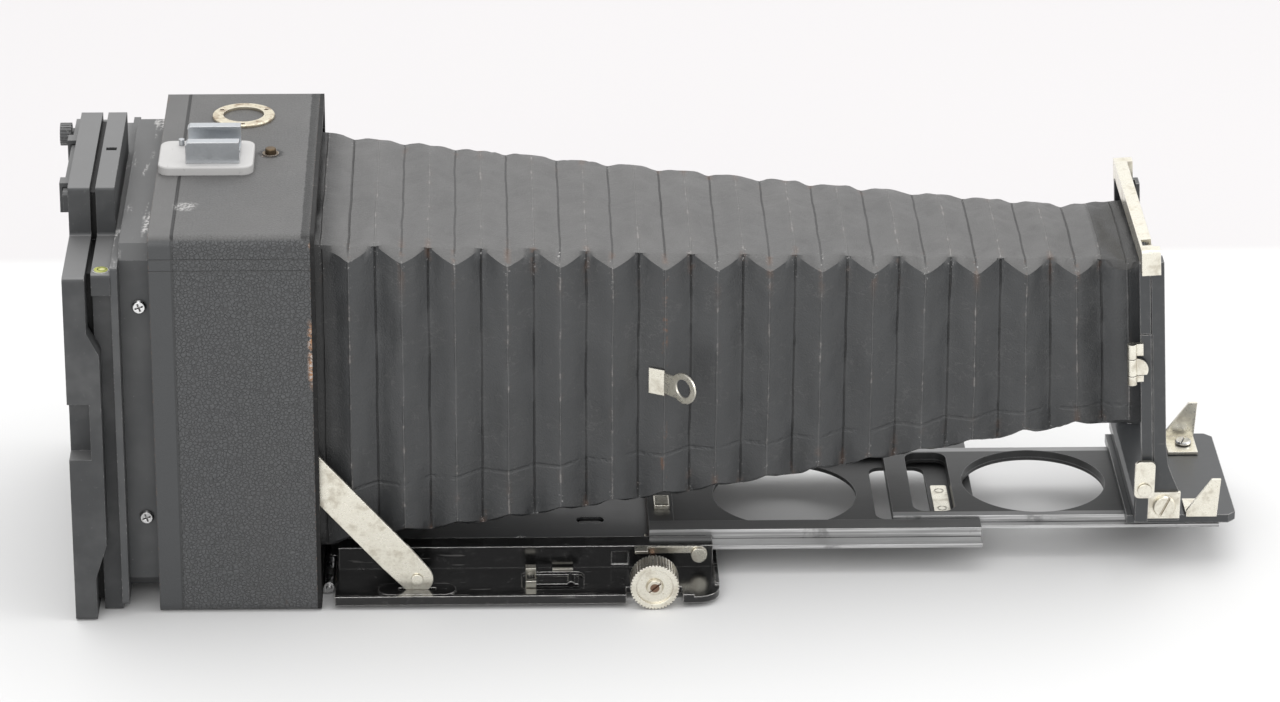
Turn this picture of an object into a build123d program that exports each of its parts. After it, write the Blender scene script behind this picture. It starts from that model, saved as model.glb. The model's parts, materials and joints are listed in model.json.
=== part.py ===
from build123d import *
import os
from math import atan2, ceil, cos, degrees, floor, hypot, pi, radians, sin

# A folding view camera, bellows drawn out on its drop bed. Millimetres; +X towards the lens,
# +Z up, the origin at the mouth of the tripod bush under the case, on the centre plane.
os.makedirs("parts", exist_ok=True)

# ---- driving dimensions ----
case_depth = 62
case_width = 151
case_height = 156.3
case_wall = 4
leather = 0.8
rim_depth = 1.5
bed_length = 151
bed_sheet = 2.7
bed_lift = 2
track_1_length = 130
track_2_length = 128
carriage_length = 43
track_1_out = 127
track_2_out = 223
carriage_out = 314
standard_out = 324
standard_height = 130
standard_lean = 3.2
bed_fold = 15
fold_pitch = 20
gate = 72
slip = 0.3
fit = 0.05

# ---- derived places ----
front_x = case_depth / 2
back_x = -case_depth / 2
half_width = case_width / 2
inner_half = half_width - leather - case_wall
floor_z = leather + case_wall
ceiling_z = case_height - leather - case_wall
film_z = case_height / 2


def mid(pair):
    return (pair[0] + pair[1]) / 2


def block(xs, ys, zs, mode=Mode.ADD):
    """A box between three pairs of coordinates, in the part being built."""
    with Locations((mid(xs), mid(ys), mid(zs))):
        Box(abs(xs[1] - xs[0]), abs(ys[1] - ys[0]), abs(zs[1] - zs[0]), mode=mode)


def rod_x(y, z, radius, xs, mode=Mode.ADD):
    with Locations((mid(xs), y, z)):
        Cylinder(radius, abs(xs[1] - xs[0]), rotation=(0, 90, 0), mode=mode)


def rod_y(x, z, radius, ys, mode=Mode.ADD):
    with Locations((x, mid(ys), z)):
        Cylinder(radius, abs(ys[1] - ys[0]), rotation=(90, 0, 0), mode=mode)


def rod_z(x, y, radius, zs, mode=Mode.ADD):
    with Locations((x, y, mid(zs))):
        Cylinder(radius, abs(zs[1] - zs[0]), mode=mode)


def facing_y(x, y, z, side=-1):
    """A plane at a point that looks along y, with x to the right."""
    return Plane(origin=(x, y, z), x_dir=(1, 0, 0), z_dir=(0, side, 0))


def out(side, near, far):
    """A span of y on one side of the centre plane, side being -1 or 1."""
    return (side * near, side * far)


def screw_head(plane, radius, height, slots=1, turn=0):
    """A domed screw head standing on a plane, with one slot or a cross."""
    with BuildSketch(plane) as rim:
        Circle(radius)
    extrude(rim.sketch, amount=height * 0.5)
    with BuildSketch(plane.offset(height * 0.5)) as dome:
        Circle(radius)
    extrude(dome.sketch, amount=height * 0.5, taper=30)
    with BuildSketch(plane.offset(height)) as recess:
        for number in range(slots):
            with Locations(Location((0, 0), turn + 90 * number)):
                Rectangle(radius * (2.2 if slots == 1 else 1.2), radius * 0.22)
    extrude(recess.sketch, amount=-height * 0.6, mode=Mode.SUBTRACT)


def keep(piece, name, place=Location()):
    """Labels a finished piece, moves it to its place and writes its STEP file."""
    finished = piece.part.moved(place)
    finished.label = name
    export_step(finished, f"parts/{name}.step")


# ================= case =================
corner_radius = 3.8
bush_radius = 7
bush_flange = 10.5
tripod_radius = 4.0
tripod_length = 10
button_x, button_y = 12, 8.4
button_bush_radius = 3.2
shell_front = front_x - rim_depth


def section(width, height, radius, z, plane, depth, mode=Mode.ADD):
    """A rounded rectangle across the x axis, extruded forwards."""
    with BuildSketch(plane) as outline:
        with Locations((0, z)):
            RectangleRounded(width, height, radius)
    extrude(outline.sketch, amount=depth, mode=mode)


with BuildPart() as case_shell:
    section(case_width - 2 * leather, case_height - 2 * leather, corner_radius - leather,
            film_z, Plane.YZ.offset(back_x), shell_front - back_x)
    block((back_x, shell_front), (-inner_half, inner_half), (floor_z, ceiling_z), Mode.SUBTRACT)
    rod_z(0, 0, bush_radius, (0, floor_z), Mode.SUBTRACT)
    rod_z(button_x, button_y, button_bush_radius, (ceiling_z, case_height), Mode.SUBTRACT)
keep(case_shell, "case_shell")

with BuildPart() as case_leather:
    section(case_width, case_height, corner_radius, film_z, Plane.YZ.offset(back_x),
            shell_front - back_x)
    section(case_width - 2 * leather, case_height - 2 * leather, corner_radius - leather,
            film_z, Plane.YZ.offset(back_x), shell_front - back_x, Mode.SUBTRACT)
    rod_z(0, 0, bush_flange, (0, leather), Mode.SUBTRACT)
    rod_z(button_x, button_y, button_bush_radius, (case_height - leather, case_height),
          Mode.SUBTRACT)
keep(case_leather, "case_leather")

with BuildPart() as front_rim:
    section(case_width, case_height, corner_radius, film_z, Plane.YZ.offset(shell_front),
            rim_depth)
    block((shell_front, front_x), (-inner_half, inner_half), (floor_z, ceiling_z), Mode.SUBTRACT)
keep(front_rim, "front_rim")

with BuildPart() as tripod_bush:
    rod_z(0, 0, bush_flange, (0, leather))
    rod_z(0, 0, bush_radius, (leather, tripod_length))
    rod_z(0, 0, tripod_radius, (0, tripod_length), Mode.SUBTRACT)
keep(tripod_bush, "tripod_bush")

# rear frame, stepped in from the leather, with four cross-head screws in its sides
frame_step = 7
frame_depth = 11.5
frame_back = back_x - frame_depth
frame_half = half_width - frame_step
frame_corner = 5
frame_opening = 112
frame_screw_x = back_x - 4.3
frame_screw_zs = (38.2, case_height - 30.6)
with BuildPart() as rear_frame:
    block((frame_back, back_x), (-frame_half, frame_half), (frame_step, case_height - frame_step))
    chamfer(rear_frame.edges().filter_by(Axis.X), frame_corner)
    block((frame_back, back_x), (-frame_opening / 2, frame_opening / 2),
          (film_z - frame_opening / 2, film_z + frame_opening / 2), Mode.SUBTRACT)
keep(rear_frame, "rear_frame")

with BuildPart() as frame_screws:
    for side in (-1, 1):
        for z in frame_screw_zs:
            screw_head(facing_y(frame_screw_x, side * frame_half, z, side), 2.75, 1.9,
                       slots=2, turn=20)
keep(frame_screws, "frame_screws")

# ================= adapter back =================
thin_plate = 2.6
front_slab = 7.2
groove = 2.2
rear_slab = 8.3
slab_foot = 0.5
shoulder_z = case_height - 13.8
crown_z = case_height + 5.7
crown_half = 39.5
front_slab_half = half_width + 2.5
rear_slab_half = half_width + 6.1
notch_depth = 9
notch_zs = (film_z - 10.15, film_z + 12.85)
grip_zs = (18, 32, shoulder_z - 31.5, shoulder_z - 22.5)
grip_width = 8.6
grip_bulge = 4.5
seat_half = 52
seat_height = 0.6
recess_depth = 6
recess_top = shoulder_z - 8.5
gate_zs = (film_z - gate / 2, film_z + gate / 2)
thin_back = frame_back - thin_plate
front_slab_back = thin_back - front_slab
groove_back = front_slab_back - groove
rear_slab_back = groove_back - rear_slab
level_x, level_y = thin_back - front_slab / 2, -(front_slab_half - 5)
level_radius = 3.3
level_depth = 4

with BuildPart() as adapter_plate:
    plate_half = front_slab_half - 0.4
    block((thin_back, frame_back), (-plate_half, plate_half), (frame_step - 2, shoulder_z + 2.5))
    block((thin_back, frame_back), (-gate / 2, gate / 2), gate_zs, Mode.SUBTRACT)
    fillet(adapter_plate.edges().filter_by(Axis.X), 1)
keep(adapter_plate, "adapter_plate")


def slab(back, depth, half, inset=0):
    """One slab of the adapter: a plate with a raised crown and the film gate through it."""
    block((back, back + depth), (-half + inset, half - inset),
          (slab_foot + inset, shoulder_z - inset))
    block((back, back + depth), (-crown_half + inset, crown_half - inset),
          (shoulder_z - inset, crown_z - inset))
    block((back, back + depth), (-gate / 2, gate / 2), gate_zs, Mode.SUBTRACT)


with BuildPart() as adapter_front:
    slab(front_slab_back, front_slab, front_slab_half)
    fillet(adapter_front.edges().filter_by(Axis.X), 1.2)
    rod_z(level_x, level_y, level_radius, (shoulder_z - level_depth, shoulder_z), Mode.SUBTRACT)
    block((level_x - 2, level_x + 2), (-1.5, 1.5), (crown_z - 1.5, crown_z), Mode.SUBTRACT)
    for side in (-1, 1):
        block((front_slab_back, thin_back), out(side, front_slab_half - recess_depth,
              front_slab_half + 1), (0, recess_top), Mode.SUBTRACT)
keep(adapter_front, "adapter_front")

with BuildPart() as adapter_gasket:
    slab(groove_back, groove, front_slab_half - recess_depth, 3)
keep(adapter_gasket, "adapter_gasket")

with BuildPart() as adapter_rear:
    slab(rear_slab_back, rear_slab, rear_slab_half)
    fillet(adapter_rear.edges().filter_by(Axis.X), 1.2)
    block((rear_slab_back - seat_height, rear_slab_back), (-seat_half, seat_half),
          (film_z - seat_half, film_z + seat_half))
    block((rear_slab_back - seat_height, rear_slab_back), (-gate / 2, gate / 2), gate_zs,
          Mode.SUBTRACT)
    for side in (-1, 1):
        with BuildSketch(facing_y(groove_back, side * (rear_slab_half - grip_width), 0)) as bulge:
            Polygon((-1, grip_zs[0]), (0, grip_zs[0]), (grip_bulge, grip_zs[1]),
                    (grip_bulge, grip_zs[2]), (0, grip_zs[3]), (-1, grip_zs[3]), align=None)
        extrude(bulge.sketch, amount=-side * grip_width)
        block((rear_slab_back, groove_back), out(side, rear_slab_half - notch_depth,
              rear_slab_half + 1), notch_zs, Mode.SUBTRACT)
keep(adapter_rear, "adapter_rear")

with BuildPart() as level_cup:
    rod_z(level_x, level_y, level_radius, (shoulder_z - level_depth, shoulder_z))
    rod_z(level_x, level_y, level_radius - 0.7, (shoulder_z - 3, shoulder_z), Mode.SUBTRACT)
keep(level_cup, "level_cup")

with BuildPart() as level_vial:
    rod_z(level_x, level_y, level_radius - 0.7, (shoulder_z - 3, shoulder_z + 0.2))
keep(level_vial, "level_vial")

# two locking bars slide sideways in keepers on the rear slab and hold the film holder
bar_thickness = 2.5
bar_half_height = 4
bar_reach = (-30, 48)
bar_zs = (crown_z - 10, slab_foot + 13.5)
bar_knob_y = 41
bar_front = rear_slab_back - slip
bar_back = bar_front - bar_thickness
keeper_ys = (-22, 22)
for place, z in zip(("upper", "lower"), bar_zs):
    with BuildPart() as lock_bar:
        block((bar_back, bar_front), bar_reach, (z - bar_half_height, z + bar_half_height))
        chamfer(lock_bar.edges().filter_by(Axis.X), 1)
        rod_x(bar_knob_y, z, 2.4, (bar_back - 1.5, bar_back))
        rod_x(bar_knob_y, z, 4.5, (bar_back - 6, bar_back - 1.5))
        with BuildSketch(Plane.YZ.offset(bar_back - 6)) as knurl:
            with Locations((bar_knob_y, z)):
                with PolarLocations(4.5, 20):
                    Rectangle(0.7, 0.5)
        extrude(knurl.sketch, amount=4.5, mode=Mode.SUBTRACT)
    keep(lock_bar, f"{place}_lock")

with BuildPart() as lock_keepers:
    for z in bar_zs:
        for y in keeper_ys:
            block((bar_back - 1.5, rear_slab_back), (y - 3, y + 3),
                  (z - bar_half_height - 2, z + bar_half_height + 2))
            block((bar_back - slip, rear_slab_back), (y - 3, y + 3),
                  (z - bar_half_height - slip, z + bar_half_height + slip), Mode.SUBTRACT)
keep(lock_keepers, "lock_keepers")

# ================= top of the case =================
shoe_base_height = 3.5
shoe_x = -9.5
shoe_length = 20.5
shoe_half = 10.5
shoe_sheet = 1.1
shoe_wall_height = 8.6
shoe_lip = 6.3
shoe_base_top = case_height + shoe_base_height
shoe_top = shoe_base_top + shoe_wall_height
shoe_xs = (shoe_x - shoe_length / 2, shoe_x + shoe_length / 2)
ring_y = 47.4

with BuildPart() as shoe_base:
    with BuildSketch(Plane.XY.offset(case_height)):
        with Locations((shoe_x - 2.75, 0)):
            RectangleRounded(36.5, 28, 4.5)
    extrude(amount=shoe_base_height)
    fillet(shoe_base.faces().sort_by(Axis.Z)[-1].edges(), 0.8)
keep(shoe_base, "shoe_base")

with BuildPart() as accessory_shoe:
    block(shoe_xs, (-shoe_half, shoe_half), (shoe_base_top, shoe_base_top + shoe_sheet))
    for side in (-1, 1):
        block(shoe_xs, out(side, shoe_half - shoe_sheet, shoe_half), (shoe_base_top, shoe_top))
        block(shoe_xs, out(side, shoe_lip, shoe_half), (shoe_top - shoe_sheet, shoe_top))
    rear_corners = accessory_shoe.edges().filter_by(Axis.Y).group_by(Axis.Z)[-1]
    chamfer(rear_corners.group_by(Axis.X)[0], shoe_sheet * 0.9)
    block((shoe_xs[1] - 1.2, shoe_xs[1]), (-2, 2), (shoe_base_top + shoe_sheet,
          shoe_base_top + shoe_sheet + 1))
    rod_z(shoe_xs[0] - 2.5, 9, 1.1, (shoe_base_top, shoe_base_top + 2.5))
keep(accessory_shoe, "accessory_shoe")

with BuildPart() as bush_ring:
    rod_z(0, ring_y, 12.25, (case_height, case_height + 1.2))
    rod_z(0, ring_y, 8, (case_height, case_height + 1.2), Mode.SUBTRACT)
    with Locations((0, ring_y, case_height + 0.9)):
        with PolarLocations(10.1, 3, 30):
            Cylinder(0.9, 0.8, mode=Mode.SUBTRACT)
    fillet(bush_ring.edges().filter_by(GeomType.CIRCLE).group_by(Axis.Z)[-1].sort_by(
        SortBy.RADIUS)[-1], 0.5)
keep(bush_ring, "bush_ring")

# bed release button: a brass pin in a bush, held in by a collar below the bush
button_hole = 2.2
button_radius = button_hole - 0.07
with BuildPart() as button_bush:
    rod_z(button_x, button_y, button_bush_radius, (ceiling_z, case_height + 0.3))
    rod_z(button_x, button_y, button_hole, (ceiling_z, case_height + 0.3), Mode.SUBTRACT)
keep(button_bush, "button_bush")

with BuildPart() as release_button:
    rod_z(button_x, button_y, button_radius, (ceiling_z - 1.5, case_height + 2.4))
    rod_z(button_x, button_y, 2.8, (ceiling_z - 1.5, ceiling_z - slip))
    fillet(release_button.edges().filter_by(GeomType.CIRCLE).sort_by(Axis.Z)[-1], 0.7)
keep(release_button, "release_button")

# ================= inside the case =================
bellows_frame_xs = (-18, -15.5)
bellows_rear_half = inner_half - 10.7
pivot_x, pivot_z = 2, film_z + 6.85
strap_width = 13.5
strap_thickness = 1.5
strap_inner = inner_half - 4.1
strap_outer = strap_inner + strap_thickness
pin_radius = 2.0
with BuildPart() as bellows_rear_frame:
    block(bellows_frame_xs, (-inner_half, inner_half), (floor_z, ceiling_z))
    block(bellows_frame_xs, (-frame_opening / 2, frame_opening / 2),
          (film_z - frame_opening / 2, film_z + frame_opening / 2), Mode.SUBTRACT)
keep(bellows_rear_frame, "bellows_rear_frame")

with BuildPart() as strut_pivots:
    for side in (-1, 1):
        rod_y(pivot_x, pivot_z, pin_radius, out(side, strap_inner - 1, inner_half))
        rod_y(pivot_x, pivot_z, 3.4, out(side, strap_inner - 1.3, strap_inner - slip))
        rod_y(pivot_x, pivot_z, 3.4, out(side, strap_outer + slip, inner_half))
keep(strut_pivots, "strut_pivots")

# ================= drop bed =================
hinge_x = front_x + 2.4
hinge_z = 2.6
barrel_radius = 2.2
hinge_pin_radius = 1.0
bed_back = hinge_x + 2.6
bed_front = front_x + 2.4 + bed_length
bed_half = half_width - 1
bed_top = bed_lift + bed_sheet
case_knuckles = ((-60, -36), (-12, 12), (36, 60))
bed_knuckles = ((-36 + slip, -12 - slip), (12 + slip, 36 - slip))
shaft_x = bed_front - 25.4
shaft_z = 9.6
knob_radius = 9.4
knob_width = 9
knob_face = -half_width - 0.7
rivet_x = front_x + 36.6
rivet_z = 10
strap_end = 6.2
lug_sheet = 2
lug_plate_length, lug_plate_width = 30, 10
pocket_depth = 1.2
pocket_xs = (front_x + 77, front_x + 101)
pocket_ys = (-bed_half + 7.5, -bed_half + 22.5)

with BuildPart() as bed_hinge:
    for ys in case_knuckles:
        rod_y(hinge_x, hinge_z, barrel_radius, ys)
        block((front_x, hinge_x), ys, (hinge_z - barrel_radius, hinge_z))
    rod_y(hinge_x, hinge_z, hinge_pin_radius, (-61, 61))
keep(bed_hinge, "bed_hinge")

with BuildPart() as bed_plate:
    block((bed_back, bed_front), (-bed_half, bed_half), (bed_lift, bed_top))
    fillet(bed_plate.edges().filter_by(Axis.Z).group_by(Axis.X)[-1], 9)
    for side in (-1, 1):
        block((bed_back, bed_front - 10), out(side, bed_half - 1.6, bed_half),
              (bed_top, bed_top + 1))
    block((bed_front - 1.6, bed_front), (-bed_half + 10, bed_half - 10), (bed_top, bed_top + 1))
    block((shaft_x - knob_radius - 1.5, shaft_x + knob_radius + 1.5), (knob_face - 2,
          knob_face + knob_width + 1.5), (0, bed_top + 2), Mode.SUBTRACT)
    for side in (-1, 1):
        with BuildSketch(Plane.XY.offset(bed_top)) as lug_plate:
            with Locations((rivet_x, side * (strap_inner + strap_thickness / 2))):
                SlotOverall(lug_plate_length, lug_plate_width)
        extrude(lug_plate.sketch, amount=0.8)
        block((rivet_x - strap_end - 1, rivet_x + strap_end + 1), out(side, strap_inner - slip,
              strap_outer + slip), (bed_top - pocket_depth, bed_top + 1), Mode.SUBTRACT)
        block((rivet_x - 5, rivet_x + 5), out(side, strap_inner - slip - lug_sheet,
              strap_inner - slip), (bed_top, rivet_z + 3.5))
    with BuildSketch(Plane.XY.offset(bed_top)) as pocket:
        with Locations((mid(pocket_xs), mid(pocket_ys))):
            RectangleRounded(pocket_xs[1] - pocket_xs[0], pocket_ys[1] - pocket_ys[0], 3)
    extrude(pocket.sketch, amount=-pocket_depth, mode=Mode.SUBTRACT)
    for ys in bed_knuckles:
        rod_y(hinge_x, hinge_z, barrel_radius, ys)
        block((hinge_x, bed_back), ys, (bed_lift, bed_top))
        rod_y(hinge_x, hinge_z, hinge_pin_radius + fit, ys, Mode.SUBTRACT)
keep(bed_plate, "bed_plate")

# guide rails: the first track's tongues run in their slots
guide_inner, guide_outer = 40.3, 48.6
guide_top = 14
guide_xs = (bed_back + 1, bed_front - 2)
tongue_1_zs = (11, 12.6)
tongue_1_half = 46.2
shaft_radius = 1.0
with BuildPart() as guide_rails:
    for side in (-1, 1):
        block(guide_xs, out(side, guide_inner, guide_outer), (bed_top, guide_top))
        block(guide_xs, out(side, guide_inner, tongue_1_half + slip),
              (tongue_1_zs[0] - slip, tongue_1_zs[1] + slip), Mode.SUBTRACT)
        rod_y(shaft_x, shaft_z, shaft_radius + fit, out(side, guide_inner, guide_outer),
              Mode.SUBTRACT)
    block((shaft_x - 16, shaft_x - 9.5), (-guide_outer, -guide_outer + 0.6), (6, 11.5),
          Mode.SUBTRACT)
keep(guide_rails, "guide_rails")

floor_half = 35
floor_top = bed_top + 0.9
floor_screw_xs = (bed_back + 16, bed_back + 72, bed_front - 12.4)
with BuildPart() as floor_plate:
    block((bed_back + 3, bed_front - 6), (-floor_half, floor_half), (bed_top, floor_top))
    with BuildSketch(Plane.XY.offset(bed_top)) as slot_hole:
        with Locations((shaft_x - 23.5, -8)):
            SlotOverall(11, 6)
    extrude(slot_hole.sketch, amount=2, mode=Mode.SUBTRACT)
keep(floor_plate, "floor_plate")

with BuildPart() as floor_screws:
    for x in floor_screw_xs:
        for side in (-1, 1):
            screw_head(Plane.XY.offset(floor_top).move(Location((x, side * 26, 0))), 2.4, 1,
                       turn=35 * side + x)
keep(floor_screws, "floor_screws")

# focusing: knob, shaft and two pinions under the racks
module = 0.8
pinion_teeth = 9
rack_pitch = pi * module
pitch_radius = pinion_teeth * module / 2
pitch_z = shaft_z + pitch_radius
rack_inner, rack_outer = 35.6, 38.4
tooth_reach = 0.5
with BuildPart() as focus_knob:
    rod_y(shaft_x, shaft_z, knob_radius, (knob_face, knob_face + knob_width))
    rod_y(shaft_x, shaft_z, knob_radius - 2.2, (knob_face, knob_face + 1), Mode.SUBTRACT)
    with BuildSketch(facing_y(shaft_x, knob_face, shaft_z)) as knurl:
        with PolarLocations(knob_radius, 44):
            Rectangle(0.9, 0.55)
    extrude(knurl.sketch, amount=-knob_width, mode=Mode.SUBTRACT)
keep(focus_knob, "focus_knob")

with BuildPart() as pinion_shaft:
    rod_y(shaft_x, shaft_z, shaft_radius, (knob_face + knob_width, guide_outer + 1))
    screw_head(facing_y(shaft_x, knob_face + 1, shaft_z), 3.3, 1.6, turn=40)
    for low_y in (-rack_outer, rack_inner):
        with BuildSketch(facing_y(shaft_x, low_y, shaft_z)) as gear:
            Circle(pitch_radius - 1.05)
            with PolarLocations(0, pinion_teeth, 90):
                Polygon((2, -0.62), (pitch_radius, -0.5), (pitch_radius + tooth_reach, -0.2),
                        (pitch_radius + tooth_reach, 0.2), (pitch_radius, 0.5), (2, 0.62),
                        align=None)
        extrude(gear.sketch, amount=-(rack_outer - rack_inner))
keep(pinion_shaft, "pinion_shaft")

# focus lock: a lever on the near guide, pivoted at its front end
lock_x, lock_z = bed_front - 7.4, 11
lever_y = -(guide_outer + slip)
lever_sheet = 1.2
with BuildPart() as focus_lock:
    rod_y(lock_x, lock_z, 3.2, (lever_y - lever_sheet, lever_y))
    block((lock_x - 25, lock_x), (lever_y - lever_sheet, lever_y), (lock_z + 0.4, lock_z + 3.2))
    block((lock_x - 25, lock_x - 20), (lever_y - 5, lever_y), (lock_z + 2, lock_z + 3.2))
    rod_y(lock_x, lock_z, 1.2 + fit, (lever_y - lever_sheet, lever_y), Mode.SUBTRACT)
keep(focus_lock, "focus_lock")

# infinity stop: a flap in a pocket of the bed, lifting about its rear edge
flap_x, flap_z = pocket_xs[0] + 3.5, bed_top + 1.2
flap_pin_radius = 0.8
flap_ys = (pocket_ys[0] + 3.3, pocket_ys[1] - 5.3)
with BuildPart() as infinity_flap:
    rod_y(flap_x, flap_z, 1.5, flap_ys)
    block((flap_x, pocket_xs[1] - 2), flap_ys, (bed_top - pocket_depth + slip, bed_top + 0.6))
    rod_y(pocket_xs[1] - 5, bed_top + 0.2, 1.4, flap_ys)
    rod_y(flap_x, flap_z, flap_pin_radius + fit, flap_ys, Mode.SUBTRACT)
keep(infinity_flap, "infinity_flap")

# ================= struts =================
rivet_radius = 1.6
strut_length = hypot(rivet_x - pivot_x, pivot_z - rivet_z)
strut_lean = degrees(atan2(rivet_z - pivot_z, rivet_x - pivot_x))
folded_rivet = Pos(hinge_x, 0, hinge_z) * Rot(0, -bed_fold, 0) * Pos(
    rivet_x - hinge_x, 0, rivet_z - hinge_z)
folded_length = hypot(folded_rivet.position.X - pivot_x, pivot_z - folded_rivet.position.Z)
slot_clearance = 0.5
slot_travel = strut_length - folded_length + slot_clearance
with BuildPart() as bed_fittings:
    for side in (-1, 1):
        rod_y(rivet_x, rivet_z, rivet_radius, out(side, strap_inner - slip, strap_outer + slip))
        rod_y(rivet_x, rivet_z, 2.2, out(side, strap_outer + slip, strap_outer + slip + 0.6))
    rod_y(lock_x, lock_z, 1.2, (lever_y - lever_sheet - slip, -guide_outer))
    rod_y(lock_x, lock_z, 3, (lever_y - lever_sheet - slip - 1.3, lever_y - lever_sheet - slip))
    block((flap_x - 2, flap_x + 2), (flap_ys[1] + slip, flap_ys[1] + slip + 3.5),
          (bed_top - pocket_depth, bed_top + 4))
    block((flap_x - 2, flap_x + 2), (flap_ys[0] - slip - 2, flap_ys[0] - slip),
          (bed_top - pocket_depth, bed_top + 3))
    rod_y(flap_x, flap_z, flap_pin_radius, (flap_ys[0] - slip, flap_ys[1] + slip))
    block((mid(pocket_xs), mid(pocket_xs) + 8), (pocket_ys[1] + 0.4, pocket_ys[1] + 2),
          (bed_top, bed_top + 1))
keep(bed_fittings, "bed_fittings")

for side, hand in ((-1, "right"), (1, "left")):
    flat = Plane(origin=(pivot_x, side * strap_inner, pivot_z),
                 x_dir=(cos(radians(strut_lean)), 0, sin(radians(strut_lean))),
                 z_dir=(0, side, 0))
    with BuildPart() as strut:
        with BuildSketch(flat) as strap:
            Circle(strap_width / 2)
            with BuildLine():
                Polyline((0, -strap_width / 2), (strut_length - 12, -strap_width / 2),
                         (strut_length, -strap_end), (strut_length, strap_end),
                         (strut_length - 12, strap_width / 2), (0, strap_width / 2), close=True)
            make_face()
            with Locations((strut_length, 0)):
                Circle(strap_end)
                Circle(rivet_radius + fit, mode=Mode.SUBTRACT)
            with Locations((slot_travel / 2, 0)):
                SlotCenterToCenter(slot_travel, 2 * (pin_radius + slot_clearance),
                                   mode=Mode.SUBTRACT)
        extrude(strap.sketch, amount=strap_thickness)
    keep(strut, f"strut_{hand}")

# ================= first track =================
track_1_xs = (front_x + track_1_out, front_x + track_1_out + track_1_length)
channel_inner = 31.8
channel_outer = 39.8
rail_1_top = 16.5
tongue_2_zs = (13.2, 14.6)
tongue_2_half = 34.2
hole_1_x = track_1_xs[0] + 55
hole_radius = 28.5
rack_end = track_1_xs[0] + 94
window_1_x = track_1_xs[0] + 101
window_1_length, window_1_width = 22, 48
window_corner = 5
with BuildPart() as track_1_sheet:
    block(track_1_xs, (-tongue_1_half, tongue_1_half), tongue_1_zs)
    rod_z(hole_1_x, 0, hole_radius, tongue_1_zs, Mode.SUBTRACT)
    with BuildSketch(Plane.XY.offset(tongue_1_zs[0])) as window:
        with Locations((window_1_x, 0)):
            RectangleRounded(window_1_length, window_1_width, window_corner)
    extrude(window.sketch, amount=2, mode=Mode.SUBTRACT)
    for side in (-1, 1):
        block((track_1_xs[0], rack_end), out(side, rack_inner - slip, rack_outer + slip),
              tongue_1_zs, Mode.SUBTRACT)
keep(track_1_sheet, "track_1_sheet")

rack_back = pitch_z + 0.8
cross_top = 15.4
with BuildPart() as track_1_rails:
    for side in (-1, 1):
        block(track_1_xs, out(side, channel_inner, channel_outer), (tongue_1_zs[1], rail_1_top))
        block(track_1_xs, out(side, channel_inner, tongue_2_half + slip),
              (tongue_1_zs[1], tongue_2_zs[1] + slip), Mode.SUBTRACT)
        block((track_1_xs[0], rack_end), out(side, rack_inner - slip, rack_outer + slip),
              (tongue_1_zs[1], rack_back + 1), Mode.SUBTRACT)
    block((track_1_xs[0], track_1_xs[0] + 10), (-channel_inner, channel_inner),
          (tongue_1_zs[1], cross_top))
keep(track_1_rails, "track_1_rails")

rack_xs = (track_1_xs[0] + 0.2, rack_end - 0.5)
first_tooth = ceil((rack_xs[0] + 0.7 - shaft_x) / rack_pitch - 0.5)
last_tooth = floor((rack_xs[1] - 0.7 - shaft_x) / rack_pitch - 0.5)
with BuildPart() as racks:
    for low_y in (-rack_outer, rack_inner):
        with BuildSketch(facing_y(0, low_y, 0)) as rack:
            with Locations((mid(rack_xs), rack_back + 0.5)):
                Rectangle(rack_xs[1] - rack_xs[0], 1)
            with Locations(*[(shaft_x + rack_pitch * (step + 0.5), pitch_z)
                             for step in range(first_tooth, last_tooth + 1)]):
                Polygon((-0.7, 0.8), (-0.5, 0), (-0.3, -tooth_reach), (0.3, -tooth_reach),
                        (0.5, 0), (0.7, 0.8), align=None)
        extrude(rack.sketch, amount=-(rack_outer - rack_inner))
    block((track_1_xs[0] + 2.5, track_1_xs[0] + 8.5), (-19, -10), (cross_top, cross_top + 2))
    chamfer(racks.faces().sort_by(Axis.Z)[-1].edges(), 0.4)
keep(racks, "racks")

# a spring plate lies on the first track, in the second track's window
spring_xs = (track_1_xs[0] + 113.5, track_1_xs[0] + 120)
spring_ys = (-20, 6)
spring_sheet = 0.4
with BuildPart() as track_1_spring:
    block(spring_xs, spring_ys, (tongue_1_zs[1], tongue_1_zs[1] + spring_sheet))
    fillet(track_1_spring.edges().filter_by(Axis.Z), 1)
    for y in (spring_ys[0] + 5, spring_ys[1] - 5):
        rod_z(mid(spring_xs), y, 1.9, (tongue_1_zs[1] + 0.2, tongue_1_zs[1] + 1), Mode.SUBTRACT)
        rod_z(mid(spring_xs), y, 1.5, (tongue_1_zs[1], tongue_1_zs[1] + spring_sheet))
keep(track_1_spring, "track_1_spring")

# ================= second track =================
track_2_xs = (front_x + track_2_out, front_x + track_2_out + track_2_length)
plate_2_half = 31.2
plate_2_top = 17.6
hole_2_x = track_2_xs[0] + 58
window_2_xs = (track_2_xs[0] + 8.5, track_2_xs[0] + 25)
window_2_half = 27


def track_2_layer(half, zs):
    """One layer of the second track, with its window and its round hole."""
    block(track_2_xs, (-half, half), zs)
    rod_z(hole_2_x, 0, hole_radius, zs, Mode.SUBTRACT)
    with BuildSketch(Plane.XY.offset(zs[0])) as window:
        with Locations((mid(window_2_xs), 0)):
            RectangleRounded(window_2_xs[1] - window_2_xs[0], 2 * window_2_half, window_corner)
    extrude(window.sketch, amount=zs[1] - zs[0], mode=Mode.SUBTRACT)


with BuildPart() as track_2_sheet:
    track_2_layer(tongue_2_half, tongue_2_zs)
keep(track_2_sheet, "track_2_sheet")

with BuildPart() as track_2_plate:
    track_2_layer(plate_2_half, (tongue_2_zs[1], plate_2_top))
keep(track_2_plate, "track_2_plate")

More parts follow.
